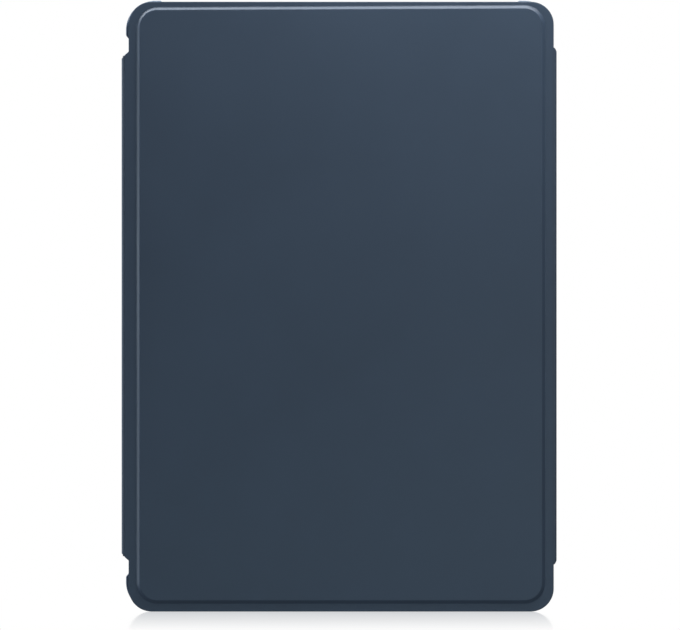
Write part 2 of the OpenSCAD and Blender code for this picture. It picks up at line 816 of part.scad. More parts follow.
module keyboard_screws() {
  color("dimgray") on_keyboard() at_screws() difference() {
    union() {
      slab(0.1, 0.1 + screw_head_t) circle(screw_head_r);
      slab(screw_head_t, screw_tip) circle(screw_r);
    }
    slab(-1, 0.3) for (a = [0, 90]) rotate([0, 0, a]) square([1.8, 0.4], center = true);
  }
}

module power_switch() {
  color([0.6, 0.62, 0.65]) on_keyboard() {
    translate([-keyboard_l / 2 - 0.6, switch_v - switch_w / 2, 1.6]) cube([side_wall + 1.2, switch_w, 1.6]);
    translate([-keyboard_l / 2 + side_wall + 0.3, switch_v - switch_w / 2 - 1, 1.2])
      cube([1.6, switch_w + 2, 2.4]);
  }
}

// Glass over a carrier whose border hooks under the deck
module touchpad() {
  color([0.22, 0.23, 0.25]) on_keyboard() translate([0, touchpad_v, 0]) {
    slab(3, deck_n - 0.3) rounded(touchpad_w + 2 * touchpad_hook, touchpad_h + 2 * touchpad_hook, 3);
    slab(deck_n - 0.4, keyboard_t - 0.05) rounded(touchpad_w, touchpad_h, 3);
  }
}

// Section across a key cap: upright sides and a bevelled top
module cap_section(w) {
  polygon([
    [-w / 2, 0], [w / 2, 0], [w / 2, cap_t - cap_bevel], [w / 2 - cap_bevel, cap_t],
    [-w / 2 + cap_bevel, cap_t], [-w / 2, cap_t - cap_bevel]
  ]);
}

// One key cap without its stems
module cap_body(w, h) {
  translate([0, h / 2 - cap_r, 0]) rotate([90, 0, 0]) linear_extrude(h - 2 * cap_r) cap_section(w);
  translate([-w / 2 + cap_r, 0, 0]) rotate([90, 0, 90]) linear_extrude(w - 2 * cap_r) cap_section(h);
  for (x = [-1, 1], y = [-1, 1]) translate([x * (w / 2 - cap_r), y * (h / 2 - cap_r), 0]) {
    cylinder(h = cap_t - cap_bevel, r = cap_r);
    translate([0, 0, cap_t - cap_bevel]) cylinder(h = cap_bevel, r1 = cap_r, r2 = cap_r - cap_bevel);
  }
}

// Key caps with their stems
module caps(keys) {
  color([0.12, 0.13, 0.15]) on_keyboard() for (k = keys) translate([k[0], k[1], 0]) {
    translate([0, 0, key_n - cap_t]) cap_body(k[2], k[3], $fn = 24);
    for (s = stems(k)) translate([s, 0, stem_n])
      cylinder(h = key_n - cap_t - stem_n + 0.1, r = stem_r, $fn = 24);
  }
}

module function_keys() {
  caps(keys_of(function_row, 0, 0, 13));
}

module number_keys() {
  caps(keys_of(number_row, 1, 0, 12));
}

module upper_letter_keys() {
  caps(keys_of(upper_row, 2, 1, 13));
}

module home_letter_keys() {
  caps(keys_of(home_row, 3, 1, 11));
}

module lower_letter_keys() {
  caps(keys_of(lower_row, 4, 1, 10));
}

module modifier_keys() {
  caps(concat(keys_of(bottom_row, 5, 0, 3), keys_of(bottom_row, 5, 5, 6)));
}

module backspace_key() {
  caps(keys_of(number_row, 1, 13, 13));
}

module tab_key() {
  caps(keys_of(upper_row, 2, 0, 0));
}

module caps_lock_key() {
  caps(keys_of(home_row, 3, 0, 0));
}

module enter_key() {
  caps(keys_of(home_row, 3, 12, 12));
}

module left_shift_key() {
  caps(keys_of(lower_row, 4, 0, 0));
}

module right_shift_key() {
  caps(keys_of(lower_row, 4, 11, 11));
}

module space_bar() {
  caps(keys_of(bottom_row, 5, 4, 4));
}

module left_arrow_key() {
  caps(keys_of(bottom_row, 5, 7, 7));
}

module up_arrow_key() {
  caps([half_key(8, 1)]);
}

module down_arrow_key() {
  caps([half_key(8, -1)]);
}

module right_arrow_key() {
  caps(keys_of(bottom_row, 5, 9, 9));
}

tray_frame();
tray_lining();
camera_ring();
back_plate();
back_skin();
back_magnets();
stand_hinge_brackets();
stand_hinge_pins();
stand_catch_plates();
power_button();
volume_up_button();
volume_down_button();
stand_leaf();
stand_skin();
stand_magnets();
spine_board();
spine_skin();
spine_lining();
cover_board();
cover_pad();
cover_skin();
cover_lining();
cover_magnets();
flap_board();
flap_skin();
flap_lining();
flap_magnets();
keyboard_base();
keyboard_deck();
key_guide_plate();
dome_sheet();
circuit_board();
control_board();
controller_chip();
battery_cell();
charging_port();
indicator_lights();
touchpad_switch();
keyboard_steel_plates();
keyboard_feet();
keyboard_screws();
power_switch();
touchpad();
function_keys();
number_keys();
upper_letter_keys();
home_letter_keys();
lower_letter_keys();
modifier_keys();
backspace_key();
tab_key();
caps_lock_key();
enter_key();
left_shift_key();
right_shift_key();
space_bar();
left_arrow_key();
up_arrow_key();
down_arrow_key();
right_arrow_key();
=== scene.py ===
"""Looks of the tablet keyboard case: leather, soft tray, linings and keyboard on the frame."""

import math

import bmesh
import bpy
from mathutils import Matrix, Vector


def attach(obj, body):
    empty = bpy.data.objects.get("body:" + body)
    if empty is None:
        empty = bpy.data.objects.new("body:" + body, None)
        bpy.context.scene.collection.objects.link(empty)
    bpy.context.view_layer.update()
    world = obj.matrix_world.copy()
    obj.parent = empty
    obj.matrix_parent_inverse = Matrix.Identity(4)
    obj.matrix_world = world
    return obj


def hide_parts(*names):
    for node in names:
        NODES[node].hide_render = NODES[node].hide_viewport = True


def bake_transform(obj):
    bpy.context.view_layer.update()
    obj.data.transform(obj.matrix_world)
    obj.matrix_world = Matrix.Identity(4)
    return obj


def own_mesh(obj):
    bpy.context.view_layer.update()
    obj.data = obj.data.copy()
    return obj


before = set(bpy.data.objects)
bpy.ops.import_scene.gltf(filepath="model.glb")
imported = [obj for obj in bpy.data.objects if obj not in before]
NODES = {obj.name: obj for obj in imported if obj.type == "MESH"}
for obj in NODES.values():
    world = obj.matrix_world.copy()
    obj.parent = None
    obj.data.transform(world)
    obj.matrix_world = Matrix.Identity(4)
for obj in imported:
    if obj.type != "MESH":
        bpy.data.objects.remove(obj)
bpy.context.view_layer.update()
MM = 0.001
SAME_PLACE = 1e-6  # points closer together than this count as one

# ---------------------------------------------------------------- sizes in mm
# x runs across the case, y from the cover's face to the back, z up. A box is (x0, x1, z0, z1).
MID_X, MID_Z = 0.275, 127.6  # middle of the tray
HALF_W, HALF_H = 88.2, 126.45  # half of the tray, without its bumpers
BUMP = 1.15  # how far a corner bumper stands out
FACE_Y, BORDER_Y = -11.5, -10.3  # face of the cover's raised panel, and of its border
BOARD_F, BOARD_B, COVER_IN = -9.8, -8.4, -7.9  # the cover's board, and its lining's face
PLATE_Y, SKIN_Y, BACK_Y = 8.8, 11.0, 11.5  # the back's plate, and its leather
SPINE_X, FLAP_X = -90.825, 90.825  # outer faces of spine and flap
COVER_X0, COVER_X1, COVER_TOP = MID_X - HALF_W, MID_X + HALF_W + BUMP, 254.7
BOARD_X1 = MID_X + HALF_W + 0.35
COVER = (COVER_X0, COVER_X1, 0, COVER_TOP)
INNER = (COVER_X0, BOARD_X1, 0, COVER_TOP)
PANEL = (-84.6, 86.0, 3.4, 252.8)
BACK = (MID_X - HALF_W, MID_X + HALF_W, MID_Z - HALF_H, MID_Z + HALF_H)
HINGE_X, HINGE_Y = MID_X, PLATE_Y + 1.3  # the stand's pins
REC_X0, REC_X1, REC_Z0, REC_Z1 = -77.225, 2.875, 20.1, 235.1  # the stand's recess
STAND = (REC_X0 + 0.5, HINGE_X - 2.0, REC_Z0 + 0.5, REC_Z1 - 0.5)
CAM_X, CAM_Z = 74.325, 238.9
CR, PR, BR = 9.6, 8.6, 11.25  # corners of the cover, of its raised panel and of the back
FR, RR = 1.325, 0.9  # bends of the spine's two creases, and of the flap's
SPINE_T, FLAP_T = 0.5, 0.4  # thickness of the leather there
TAB_L = (21.1, 234.1, 3.0)  # ends and slant of the tabs at the spine
TAB_R = (19.6, 235.6, 1.6)  # ends and slant of the tab at the flap
SPINE_ENDS, FLAP_ENDS = (24.1, 231.1), (21.2, 234.0)
TAB_Y = BORDER_Y - 0.012  # tabs lie a hair in front of the border, so that no faces coincide


# ---------------------------------------------------------------- materials
class Mat:
    """A procedural material, with textures in the piece's own coordinates.

    Texture scales are per metre; the radii of edges and the depths of bumps are in mm.
    """

    WORN = 0.85  # cosine of the turn of the normal at which an edge counts as fully worn

    def __init__(self, name, color, rough=0.5, metal=0.0, **sockets):
        self.material = bpy.data.materials.new(name)
        self.material.use_nodes = True
        self.tree = self.material.node_tree
        self.shader = self.tree.nodes["Principled BSDF"]
        self.shader.inputs["Base Color"].default_value = (*color, 1)
        self.shader.inputs["Roughness"].default_value = rough
        self.shader.inputs["Metallic"].default_value = metal
        for k, v in sockets.items():
            self.shader.inputs[k.replace("_", " ")].default_value = v
        self.color = color
        self.at = self.node("ShaderNodeTexCoord").outputs["Object"]
        self.normal = None

    def node(self, kind, **values):
        n = self.tree.nodes.new(kind)
        for k, v in values.items():
            setattr(n, k, v)
        return n

    def link(self, a, b):
        self.tree.links.new(a, b)
        return self

    def stretched(self, x, y, z):
        n = self.node("ShaderNodeMapping")
        n.inputs["Scale"].default_value = (x, y, z)
        self.link(self.at, n.inputs["Vector"])
        return n.outputs["Vector"]

    def texture(self, kind, output, at=None, inputs=(), **values):
        n = self.node(kind, **values)
        for k, v in inputs:
            n.inputs[k].default_value = v
        self.link(at or self.at, n.inputs["Vector"])
        return n.outputs[output]

    def noise(self, scale, detail=3.0, rough=0.55, at=None):
        inputs = (("Scale", scale), ("Detail", detail), ("Roughness", rough))
        return self.texture("ShaderNodeTexNoise", "Fac", at, inputs)

    def cells(self, scale):
        return self.texture("ShaderNodeTexVoronoi", "Distance", inputs=(("Scale", scale),))

    def wave(self, scale, direction, distortion):
        inputs = (("Scale", scale), ("Distortion", distortion))
        return self.texture("ShaderNodeTexWave", "Fac", inputs=inputs, bands_direction=direction)

    def fit(self, value, lo, hi, a=0.0, b=1.0):
        """value from the range lo to hi, laid onto the range a to b."""
        n = self.node("ShaderNodeMapRange")
        for k, v in (("From Min", lo), ("From Max", hi), ("To Min", a), ("To Max", b)):
            n.inputs[k].default_value = v
        self.link(value, n.inputs["Value"])
        return n.outputs["Result"]

    def math(self, op, a, b):
        n = self.node("ShaderNodeMath", operation=op)
        for i, v in enumerate((a, b)):
            if isinstance(v, (int, float)):
                n.inputs[i].default_value = v
            else:
                self.link(v, n.inputs[i])
        return n.outputs[0]

    def mix(self, fac, a, b):
        """Colour a where fac is 0 and colour b where it is 1."""
        n = self.node("ShaderNodeMix", data_type="RGBA")
        self.link(fac, n.inputs[0])
        for i, v in ((6, a), (7, b)):
            if isinstance(v, tuple):
                n.inputs[i].default_value = (*v, 1)
            else:
                self.link(v, n.inputs[i])
        return n.outputs[2]

    def shade(self, k):
        return tuple(min(1.0, c * k) for c in self.color)

    def bevel(self, radius):
        n = self.node("ShaderNodeBevel", samples=4)
        n.inputs["Radius"].default_value = radius * MM
        return n.outputs["Normal"]

    def soft_edges(self, radius):
        self.normal = self.bevel(radius)
        return self

    def worn_edges(self, radius):
        """0 on flat places and up to 1 along edges and corners."""
        bent = self.bevel(radius)
        g = self.node("ShaderNodeNewGeometry")
        d = self.node("ShaderNodeVectorMath", operation="DOT_PRODUCT")
        self.link(bent, d.inputs[0]).link(g.outputs["Normal"], d.inputs[1])
        return self.fit(d.outputs["Value"], 1.0, self.WORN)

    def bump(self, height, depth, strength=1.0):
        n = self.node("ShaderNodeBump")
        n.inputs["Distance"].default_value = depth * MM
        n.inputs["Strength"].default_value = strength
        self.link(height, n.inputs["Height"])
        if self.normal is not None:
            self.link(self.normal, n.inputs["Normal"])
        self.normal = n.outputs["Normal"]
        return self

    def paint(self, source):
        return self.link(source, self.shader.inputs["Base Color"])

    def gloss(self, source):
        return self.link(source, self.shader.inputs["Roughness"])

    def done(self):
        if self.normal is not None:
            self.link(self.normal, self.shader.inputs["Normal"])
        return self.material


def leather(name, color, rough):
    m = Mat(name, color, rough, Specular_IOR_Level=0.34)
    grain = m.cells(2600)
    pores = m.noise(1500, 4, 0.6)
    drift = m.noise(14, 3, 0.5)
    cloud = m.noise(60, 2, 0.5)
    tone = m.mix(m.fit(drift, 0.3, 0.7), m.shade(0.94), m.shade(1.05))
    tone = m.mix(m.fit(cloud, 0.42, 0.75, 0.0, 0.25), tone, m.shade(1.12))
    tone = m.mix(m.fit(grain, 0.0, 0.12, 0.3, 0.0), tone, m.shade(0.8))
    wear = m.worn_edges(0.35)
    m.paint(m.mix(m.math("MULTIPLY", wear, 0.3), tone, m.shade(1.4)))
    m.gloss(m.fit(m.math("ADD", pores, drift), 0.7, 1.3, rough - 0.05, rough + 0.06))
    m.bump(m.fit(drift, 0.2, 0.8), 0.03, 0.5)
    m.bump(grain, 0.018, 0.35).bump(pores, 0.02, 0.35)
    return m.done()


def soft_plastic(name, color, rough, edge=0.2):
    m = Mat(name, color, rough, Specular_IOR_Level=0.4).soft_edges(edge)
    fine = m.noise(3200, 3, 0.6)
    drift = m.noise(25, 3)
    tone = m.mix(m.fit(drift, 0.3, 0.7), m.shade(0.92), m.shade(1.08))
    m.paint(m.mix(m.math("MULTIPLY", m.worn_edges(0.3), 0.3), tone, m.shade(1.6)))
    m.gloss(m.fit(m.math("ADD", fine, drift), 0.7, 1.3, rough - 0.06, rough + 0.07))
    m.bump(fine, 0.015, 0.4)
    return m.done()


def microfibre(name, color):
    m = Mat(name, color, 0.92, Specular_IOR_Level=0.2, Sheen_Weight=0.15, Sheen_Roughness=0.5)
    nap = m.noise(1800, 4, 0.7, at=m.stretched(1.0, 1.0, 0.35))
    brushed = m.noise(45, 4, 0.6, at=m.stretched(1.0, 1.0, 0.5))
    fleck = m.noise(5200, 2)
    tone = m.mix(m.fit(brushed, 0.3, 0.7), m.shade(0.86), m.shade(1.12))
    tone = m.mix(m.fit(nap, 0.35, 0.75, 0.0, 0.5), tone, m.shade(1.3))
    m.paint(m.mix(m.fit(fleck, 0.3, 0.45, 0.4, 0.0), tone, m.shade(0.7)))
    m.gloss(m.fit(nap, 0.3, 0.7, 0.86, 0.98))
    m.bump(nap, 0.06, 0.5)
    return m.done()


def moulded(name, color, rough, edge=0.15, wear=1.8, grain=3600):
    """Hard plastic; wear is how much lighter its edges are, and grain the scale of its texture."""
    m = Mat(name, color, rough, Specular_IOR_Level=0.45).soft_edges(edge)
    spark = m.cells(grain)
    fine = m.noise(2400, 3, 0.6)
    drift = m.noise(30, 3)
    tone = m.mix(m.fit(drift, 0.3, 0.7), m.shade(0.92), m.shade(1.08))
    m.paint(m.mix(m.math("MULTIPLY", m.worn_edges(0.25), 0.35), tone, m.shade(wear)))
    m.gloss(m.fit(m.math("ADD", fine, drift), 0.7, 1.3, max(0.03, rough - 0.06), rough + 0.06))
    m.bump(spark, 0.012, 0.35).bump(fine, 0.008, 0.3)
    return m.done()


def metal(name, color, rough, stretch):
    """Metal with brush marks; stretch is the pull on the marks along x, y and z."""
    m = Mat(name, color, rough, 1.0).soft_edges(0.08)
    brush = m.noise(700, 3, 0.6, at=m.stretched(*stretch))
    stain = m.noise(60, 4, 0.6)
    m.paint(m.mix(m.fit(stain, 0.35, 0.7), m.shade(0.86), m.shade(1.06)))
    m.gloss(m.fit(m.math("ADD", brush, stain), 0.7, 1.3, rough - 0.08, rough + 0.12))
    m.bump(brush, 0.006, 0.35)
    return m.done()


def gloss_plastic(name, color, rough, **sockets):
    m = Mat(name, color, rough, Specular_IOR_Level=0.5, **sockets).soft_edges(0.1)
    smear = m.noise(55, 5, 0.6)
    dust = m.fit(m.noise(2600, 2), 0.55, 0.7, 0, 0.4)
    m.paint(m.mix(m.fit(smear, 0.3, 0.7), m.shade(0.9), m.shade(1.12)))
    m.gloss(m.fit(m.math("ADD", smear, dust), 0.3, 1.1, rough * 0.7, rough * 1.6))
    m.bump(smear, 0.01, 0.15)
    return m.done()


def rubber(name, color, rough):
    m = Mat(name, color, rough, Specular_IOR_Level=0.3).soft_edges(0.12)
    fine = m.noise(1900, 4, 0.65)
    dust = m.noise(120, 3)
    m.paint(m.mix(m.fit(dust, 0.4, 0.75, 0.0, 0.5), m.shade(1.0), m.shade(1.5)))
    m.gloss(m.fit(fine, 0.3, 0.7, rough - 0.08, rough + 0.08))
    m.bump(fine, 0.03, 0.4)
    return m.done()


def circuit(name, color):
    m = Mat(name, color, 0.35, Specular_IOR_Level=0.5)
    tracks = m.wave(420, "X", 6.0)
    cross = m.wave(300, "Z", 8.0)
    pads = m.cells(330)
    line = m.math("MAXIMUM", m.fit(tracks, 0.82, 0.9), m.fit(cross, 0.84, 0.92))
    base = m.mix(line, m.color, m.shade(1.9))
    m.paint(m.mix(m.fit(pads, 0.13, 0.1), base, (0.55, 0.5, 0.4)))
    m.gloss(m.fit(m.noise(90, 3), 0.3, 0.7, 0.28, 0.45))
    m.bump(line, 0.03, 0.6)
    return m.done()


def foam(name, color):
    m = Mat(name, color, 0.95, Specular_IOR_Level=0.15)
    pores = m.cells(1100)
    m.paint(m.mix(m.fit(pores, 0.0, 0.35), m.shade(0.5), m.shade(1.15)))
    m.gloss(m.fit(pores, 0.0, 0.5, 0.98, 0.88))
    m.bump(pores, 0.2, 0.8)
    return m.done()


def board(name, color):
    m = Mat(name, color, 0.8, Specular_IOR_Level=0.3).soft_edges(0.1)
    pulp = m.noise(900, 5, 0.7, at=m.stretched(1, 1, 0.25))
    m.paint(m.mix(m.fit(pulp, 0.3, 0.7), m.shade(0.8), m.shade(1.25)))
    m.gloss(m.fit(pulp, 0.3, 0.7, 0.72, 0.9))
    m.bump(pulp, 0.04, 0.5)
    return m.done()


def foil(name, color):
    m = Mat(name, color, 0.35, 0.9).soft_edges(0.2)
    crumple = m.noise(160, 3, 0.5)
    m.paint(m.mix(m.fit(crumple, 0.3, 0.7), m.shade(0.8), m.shade(1.1)))
    m.gloss(m.fit(crumple, 0.3, 0.7, 0.25, 0.45))
    m.bump(crumple, 0.15, 0.5)
    return m.done()


NAVY = leather("navy_leather", (0.0288, 0.0490, 0.0805), 0.43)
# painted shade: the same leather made darker and less blue for the folds and creases
NAVY_FOLD_SHADE = leather("navy_leather_fold_painted_shade", (0.028, 0.045, 0.071), 0.46)
TPU = soft_plastic("navy_soft_plastic", (0.0205, 0.0435, 0.083), 0.5)
BUTTONS = soft_plastic("navy_button_plastic", (0.026, 0.05, 0.098), 0.45, 0.15)
LINING = microfibre("grey_lining", (0.062, 0.068, 0.080))
BOARD = board("stiff_board", (0.05, 0.05, 0.055))
FOAM = foam("pressed_foam", (0.07, 0.07, 0.075))
MAGNET = metal("magnet_nickel", (0.60, 0.60, 0.62), 0.28, (1, 1, 1))
STEEL = metal("brushed_steel", (0.62, 0.62, 0.64), 0.32, (1, 40, 1))
RING = gloss_plastic("black_gloss_plastic", (0.012, 0.013, 0.016), 0.14)
SHELL = moulded("dark_grey_plastic", (0.034, 0.036, 0.042), 0.46)
KEYS = moulded("key_plastic", (0.016, 0.017, 0.021), 0.42, 0.2, 1.7)
CHIP = moulded("chip_plastic", (0.014, 0.014, 0.015), 0.55, 0.1, 1.5, 2400)
RUBBER = rubber("black_rubber", (0.028, 0.028, 0.03), 0.75)
DOMES = rubber("pale_rubber", (0.5, 0.5, 0.48), 0.6)
PCB = circuit("circuit_board", (0.02, 0.11, 0.05))
FOIL = foil("battery_foil", (0.6, 0.61, 0.63))
LIGHT = gloss_plastic("light_pipe", (0.8, 0.85, 0.8), 0.2, Transmission_Weight=0.4)
GLASS = gloss_plastic("touchpad_glass", (0.05, 0.054, 0.064), 0.26)
INK = moulded("legend_ink", (0.62, 0.64, 0.66), 0.5, 0.02, 1.0)

NODE_LOOKS = {
    BOARD: "back_plate stand_leaf spine_board cover_board flap_board",
    FOAM: "cover_pad",
    MAGNET: "back_magnets stand_magnets cover_magnets flap_magnets",
    STEEL: "stand_hinge_brackets stand_hinge_pins stand_catch_plates keyboard_screws"
           " keyboard_steel_plates touchpad_switch charging_port key_guide_plate",
    RING: "camera_ring",
    SHELL: "keyboard_base keyboard_deck",
    KEYS: "function_keys number_keys upper_letter_keys home_letter_keys lower_letter_keys"
          " modifier_keys backspace_key tab_key caps_lock_key enter_key left_shift_key"
          " right_shift_key space_bar left_arrow_key up_arrow_key down_arrow_key"
          " right_arrow_key power_switch",
    CHIP: "controller_chip",
    RUBBER: "keyboard_feet",
    DOMES: "dome_sheet",
    PCB: "circuit_board control_board",
    FOIL: "battery_cell",
    LIGHT: "indicator_lights",
    GLASS: "touchpad",
    BUTTONS: "power_button volume_up_button volume_down_button",
    LINING: "tray_lining cover_lining spine_lining flap_lining",
    TPU: "tray_frame",
    NAVY: "cover_skin spine_skin flap_skin back_skin stand_skin",
}
for look, names in NODE_LOOKS.items():
    for name in names.split():
        mesh = NODES[name].data
        mesh.materials.clear()
        mesh.materials.append(look)


# ---------------------------------------------------------------- mesh helpers
def piece(name, verts, faces, look, sharp=32, slot=None):
    """One mesh from points in mm, with outward normals and smooth shading."""
    me = bpy.data.meshes.new(name)
    me.from_pydata([(x * MM, y * MM, z * MM) for x, y, z in verts], [], faces)
    bm = bmesh.new()
    bm.from_mesh(me)
    bmesh.ops.remove_doubles(bm, verts=bm.verts, dist=SAME_PLACE)
    bmesh.ops.recalc_face_normals(bm, faces=bm.faces)
    bm.to_mesh(me)
    bm.free()
    me.materials.append(look)
    ob = bpy.data.objects.new(name, me)
    bpy.context.scene.collection.objects.link(ob)
    smooth(ob, sharp)
    return ob


SQUARE_ON = 0.99999  # a normal this near to an axis belongs to a flat face


def smooth(ob, sharp):
    """Smooth shading, but for edges sharper than the angle and for flat faces square to an axis."""
    ob.data.shade_smooth()
    ob.data.set_sharp_from_angle(angle=math.radians(sharp))
    for face in ob.data.polygons:
        if max(abs(c) for c in face.normal) > SQUARE_ON:
            face.use_smooth = False


def arc(cx, cy, r, a0, a1, n):
    """Points on a circle from angle a0 to a1, in n steps."""
    angles = [math.radians(a0 + (a1 - a0) * i / n) for i in range(n + 1)]
    return [(cx + r * math.cos(a), cy + r * math.sin(a)) for a in angles]


def circle(cx, cz, r, n=48):
    turns = [2 * math.pi * i / n for i in range(n)]
    return [(cx + r * math.cos(a), cz + r * math.sin(a)) for a in turns]


def outline(box, r, n=14):
    """Rounded rectangle as points (x, z), anticlockwise from the right side's upper corner."""
    x0, x1, z0, z1 = box
    return (arc(x1 - r, z1 - r, r, 0, 90, n) + arc(x0 + r, z1 - r, r, 90, 180, n)
            + arc(x0 + r, z0 + r, r, 180, 270, n) + arc(x1 - r, z0 + r, r, 270, 360, n))


def shrunk(box, d):
    x0, x1, z0, z1 = box
    return x0 + d, x1 - d, z0 + d, z1 - d


def inset(box, d, r):
    """Outline that lies d inside that of a box with corners of radius r."""
    return outline(shrunk(box, d), r - d)


def lift(points, y):
    return [(x, y, z) for x, z in points]


def stack(box, r, profile):
    """Rings of a rounded box, one for each (inset, y) of the profile."""
    return [lift(inset(box, d, r), y) for d, y in profile]


def grown(points, d):
    """A convex or gently concave loop of (x, z) points moved outward by d."""
    n, out = len(points), []
    following = points[1:] + points[:1]
    area = sum(ax * bz - bx * az for (ax, az), (bx, bz) in zip(points, following))
    s = 1 if area > 0 else -1
    for i in range(n):
        (ax, az), (bx, bz), (cx, cz) = points[i - 1], points[i], points[(i + 1) % n]
        u = Vector((bx - ax, bz - az)).normalized()
        v = Vector((cx - bx, cz - bz)).normalized()
        m = Vector((u.y + v.y, -u.x - v.x)) / max(0.4, 1 + u.dot(v))
        out.append((bx + s * d * m.x, bz + s * d * m.y))
    return out


def loft(rings, ends=True, closed=False):
    """Faces between rings of points, with caps at both ends or closed round to the first ring."""
    n, faces = len(rings[0]), []
    for i in range(len(rings) if closed else len(rings) - 1):
        a, b = i * n, (i + 1) % len(rings) * n
        faces += [(a + j, a + (j + 1) % n, b + (j + 1) % n, b + j) for j in range(n)]
    if ends and not closed:
        faces += [tuple(range(n)), tuple(range((len(rings) - 1) * n, len(rings) * n))]
    return [p for r in rings for p in r], faces


def merged(*parts):
    verts, faces = [], []
    for v, f in parts:
        k = len(verts)
        verts += v
        faces += [tuple(i + k for i in face) for face in f]
    return verts, faces


def plate_with_holes(outer, holes, y):
    """Flat face at depth y between an outline and its holes."""
    bm = bmesh.new()
    edges = []
    for loop in [outer, *holes]:
        vs = [bm.verts.new(p) for p in lift(loop, y)]
        edges += [bm.edges.new((vs[i], vs[(i + 1) % len(vs)])) for i in range(len(vs))]
    bmesh.ops.triangle_fill(bm, use_beauty=True, use_dissolve=False, edges=edges)
    bm.verts.index_update()
    out = [tuple(v.co) for v in bm.verts], [tuple(v.index for v in f.verts) for f in bm.faces]
    bm.free()
    return out


# Rounded end of a sheet: (share of its thickness, share of the rounding)
SHEET_END = [(0.0, 1.0), (0.25, 0.25), (0.5, 0.0), (0.8, 0.3), (1.0, 1.0)]


def band(path, thick, side, edge=0.18):
    """A sheet along a path of (x, y, z0, z1) points, with its ends rounded over edge.

    Seen from above, its thickness lies left of the path where side is 1, and right where it is -1.
    """
    rings = []
    for i, (x, y, z0, z1) in enumerate(path):
        a, b = path[max(0, i - 1)], path[min(len(path) - 1, i + 1)]
        d = Vector((b[0] - a[0], b[1] - a[1])).normalized()
        nx, ny = -d.y * side * thick, d.x * side * thick
        rings.append([(x + nx * t, y + ny * t, z0 + edge * e) for t, e in SHEET_END]
                     + [(x + nx * t, y + ny * t, z1 - edge * e) for t, e in SHEET_END[::-1]])
    return loft(rings)


def upright(x, y0, y1, ends, n=12):
    """Path of a flat sheet that stands at x, from y0 to y1 and between the ends in z."""
    return [(x, y0 + (y1 - y0) * i / n, *ends) for i in range(n + 1)]


def tapered(points, tab, x_in, x_out, power=1):
    """Path over (x, y) points whose ends draw in by the tab's slant from x_in to x_out."""
    z0, z1, slant = tab
    path = []
    for x, y in points:
        s = slant * min(1.0, max(0.0, (x_in - x) / (x_in - x_out))) ** power
        path.append((x, y, z0 + s, z1 - s))
    return path


def slab(box, r, y0, y1, edge):
    """Thin sheet with round corners and rounded edges."""
    return loft(stack(box, r, [(edge, y0), (edge * 0.3, y0 + edge * 0.3), (0, y0 + edge),
                               (0, y1 - edge), (edge * 0.3, y1 - edge * 0.3), (edge, y1)]))


# ---------------------------------------------------------------- cover
# Edge of the cover from its inside outwards, then its bevel up to the raised panel: (inset, y)
INNER_EDGE = [(0.8, BOARD_B), (0.3, BOARD_B), (0.1, BOARD_B - 0.08), (0, BOARD_B - 0.3),
              (0, BOARD_F + 0.05)]
OUTER_EDGE = [(0.06, BOARD_F - 0.03), (0, BOARD_F - 0.15), (0, BORDER_Y + 0.22),
              (0.07, BORDER_Y + 0.08), (0.25, BORDER_Y)]
SWELL = [(-0.4, -10.3), (-0.15, -10.285), (-0.02, -10.32), (0.1, -10.42), (0.4, -10.7),
         (0.75, -11.03), (1.1, -11.355), (1.2, -11.435), (1.3, -11.48), (1.45, FACE_Y),
         (2.6, FACE_Y)]
LEAN = 0.0046  # rise of the panel's upper edge per mm of x
LEAN_Z0, LEAN_H = 100, 153  # height where the lean starts, and how far above it is full


def leaning(points):
    """The panel's hand-laid upper edge runs a little out of square."""
    return [(x, y, z + LEAN * (x - MID_X) * max(0.0, (z - LEAN_Z0) / LEAN_H))
            for x, y, z in points]


front = loft(stack(INNER, CR, INNER_EDGE) + stack(COVER, CR, OUTER_EDGE)
             + [leaning(r) for r in stack(PANEL, PR, SWELL)])
tab_x0, tab_x1, tab_n = COVER_X0 + 0.9, SPINE_X + FR, 8
tab_line = [(tab_x0 + (tab_x1 - tab_x0) * i / tab_n, TAB_Y) for i in range(tab_n + 1)]
tab_ends = (TAB_L[0] - 0.6, TAB_L[1] + 0.6, 2.2)
left_tab = band(tapered(tab_line, tab_ends, tab_x0, tab_x1), SPINE_T, -1)
cover = piece("cover_leather", *merged(front, left_tab), NAVY, slot="navy_leather")
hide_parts("cover_skin")
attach(cover, "cover")

lining = piece("cover_lining_face", *slab(shrunk(INNER, 0.25), CR - 0.25, BOARD_B, COVER_IN, 0.2),
               LINING, slot="grey_lining")
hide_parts("cover_lining")
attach(lining, "cover")

# ---------------------------------------------------------------- folds, spine and flap
front_roll = arc(SPINE_X + FR, BORDER_Y + FR, FR, 270, 180, 10)
back_roll = arc(SPINE_X + FR, BACK_Y - FR, FR, 180, 90, 10)
# the spine's creases wear the leather painted darker: painted shade in the folds
crease = piece("front_spine_fold",
               *band(tapered(front_roll, TAB_L, COVER_X0, SPINE_X), SPINE_T, -1),
               NAVY_FOLD_SHADE, slot="navy_leather")
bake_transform(crease)
crease = piece("back_spine_fold",
               *band(tapered(back_roll, TAB_L, COVER_X0, SPINE_X), SPINE_T, -1),
               NAVY_FOLD_SHADE, slot="navy_leather")
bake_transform(crease)

spine = piece("spine_leather",
              *band(upright(SPINE_X, BORDER_Y + FR, BACK_Y - FR, SPINE_ENDS), SPINE_T, -1),
              NAVY, slot="navy_leather")
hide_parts("spine_skin")
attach(spine, "spine")
spine_in = piece("spine_lining_face",
                 *band(upright(SPINE_X + 1.7, -9.45, 10.65, (22.2, 233.0)), 0.45, -1, 0.15),
                 LINING, slot="grey_lining")
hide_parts("spine_lining")
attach(spine_in, "spine")

